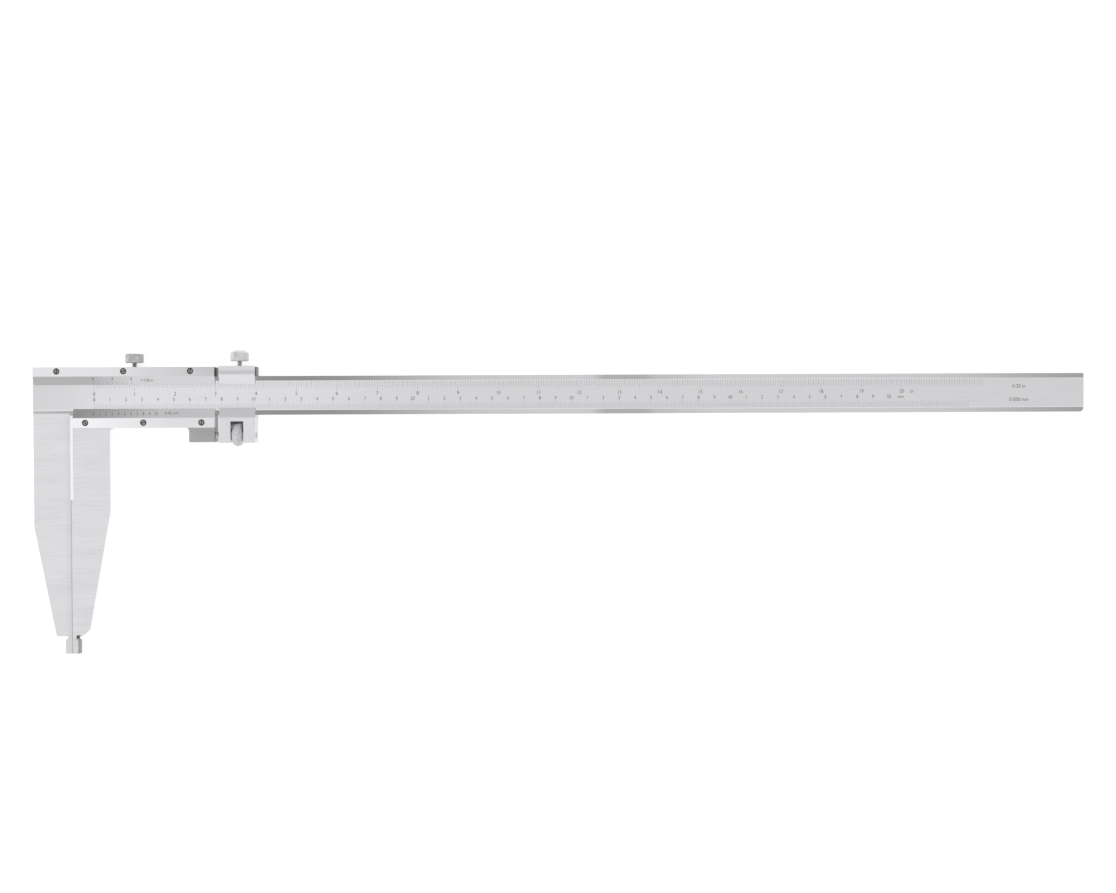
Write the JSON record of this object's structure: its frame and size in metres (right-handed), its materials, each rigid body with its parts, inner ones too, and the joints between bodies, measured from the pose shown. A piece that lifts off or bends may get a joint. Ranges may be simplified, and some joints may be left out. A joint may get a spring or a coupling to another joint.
{
  "type": "vernier caliper",
  "caption": "Long vernier caliper with nib-style jaws, bevelled vernier plates on its slider and a screw-driven fine-adjustment carriage on a graduated beam.",
  "frame": {"origin": "under the middle of the whole tool, on the surface that it rests on when it lies on its back", "axes": "+X along the beam towards its free end, +Y across the beam away from the jaws, +Z out of the graduated front face"},
  "size_m": [0.6614, 0.191, 0.0146],
  "materials": {
    "ground_steel": "fine ground",
    "brushed_steel": "brushed along the beam",
    "satin_steel": "satin",
    "knurled_steel": "knurled",
    "thread_steel": "bright thread",
    "spring_steel": "dull spring steel",
    "pin_steel": "ground pin",
    "screw_steel": "dark turned"
  },
  "bodies": {
    "beam": {"beam": "ground_steel", "fixed_jaw": "brushed_steel", "jaw_dowels": "pin_steel"},
    "slider": {"slider_body": "brushed_steel", "upper_vernier_plate": "satin_steel", "lower_vernier_plate": "satin_steel", "upper_plate_screws": "screw_steel", "lower_plate_screws": "screw_steel", "slider_gib_spring": "spring_steel", "adjusting_rod": "thread_steel", "rod_lock_screw": "screw_steel"},
    "slider_clamp": {"slider_clamp_screw": "knurled_steel"},
    "carriage": {"carriage_body": "brushed_steel", "carriage_gib_spring": "spring_steel"},
    "carriage_clamp": {"carriage_clamp_screw": "knurled_steel"},
    "nut": {"adjusting_nut": "knurled_steel"}
  },
  "joints": [
    {"name": "slider_travel", "type": "slide", "parent": "beam", "child": "slider", "axis": [1, 0, 0], "range_m": [0, 0.5]},
    {"name": "slider_clamp_turn", "type": "hinge", "parent": "slider", "child": "slider_clamp", "pos_m": [-0.26735, 0.08697, 0.0059], "axis": [0, 1, 0], "range_deg": [0, 540]},
    {"name": "fine_travel", "type": "slide", "parent": "slider", "child": "carriage", "axis": [1, 0, 0], "range_m": [-0.0012, 0.006]},
    {"name": "carriage_clamp_turn", "type": "hinge", "parent": "carriage", "child": "carriage_clamp", "pos_m": [-0.20122, 0.08787, 0.0059], "axis": [0, 1, 0], "range_deg": [0, 540]},
    {"name": "nut_turn", "type": "hinge", "parent": "carriage", "child": "nut", "pos_m": [-0.2022, 0.04188, 0.0074], "axis": [1, 0, 0], "range_deg": [-870, 4330]}
  ],
  "couplings": [
    {"joint": "nut_turn", "follows": "fine_travel", "rad_per_m": 12566}
  ]
}
